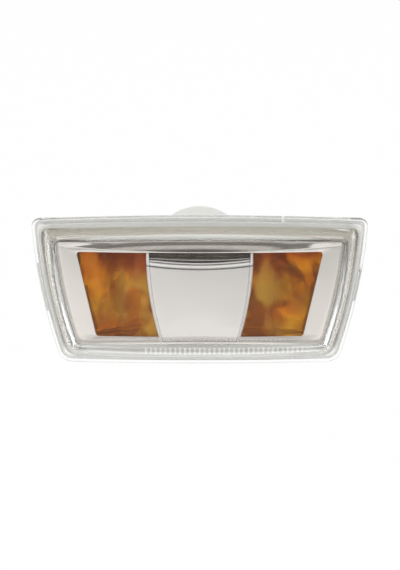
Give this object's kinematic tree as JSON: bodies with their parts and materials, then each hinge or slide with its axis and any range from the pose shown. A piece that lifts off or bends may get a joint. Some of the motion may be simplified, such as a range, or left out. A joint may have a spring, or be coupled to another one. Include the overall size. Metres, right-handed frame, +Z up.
{
  "type": "side repeater lamp",
  "caption": "Trapezoid side repeater lamp of a car: clear domed lens, satin bezel and bulb shield, amber inner lens, clip-in housing with a twist-in bulb holder.",
  "frame": {"origin": "middle of the foam gasket's rear face, which bears on the wing", "axes": "+X to the right seen from the front, +Y into the wing, away from the viewer, +Z up"},
  "size_m": [0.1096, 0.0564, 0.05],
  "materials": {
    "clear_lens": "clear acrylic, polished",
    "satin_metallised": "vacuum-metallised plastic, satin",
    "bright_metallised": "vacuum-metallised plastic, bright",
    "amber_lens": "tinted plastic, polished",
    "grey_plastic": "moulded, fine grain",
    "black_rubber": "matt",
    "white_foam": "closed-cell foam",
    "spring_steel": "rolled strip",
    "grey_foam": "open-cell foam",
    "black_plastic": "moulded, satin",
    "bulb_glass": "clear blown glass",
    "tungsten": "drawn wire",
    "lead_wire": "plated wire",
    "contact_brass": "stamped strip"
  },
  "bodies": {
    "root": {"outer_lens": "clear_lens", "bezel": "satin_metallised", "centre_shield": "bright_metallised", "amber_lens": "amber_lens", "reflector": "bright_metallised", "housing": "grey_plastic", "lens_seal": "black_rubber", "wing_gasket": "white_foam", "spring_clip": "spring_steel", "vent_foam": "grey_foam", "bulb_holder": "black_plastic", "holder_seal": "black_rubber", "bulb_glass": "bulb_glass", "bulb_filament": "tungsten", "bulb_lead_left": "lead_wire", "bulb_lead_right": "lead_wire", "contact_left": "contact_brass", "contact_right": "contact_brass"}
  },
  "joints": []
}
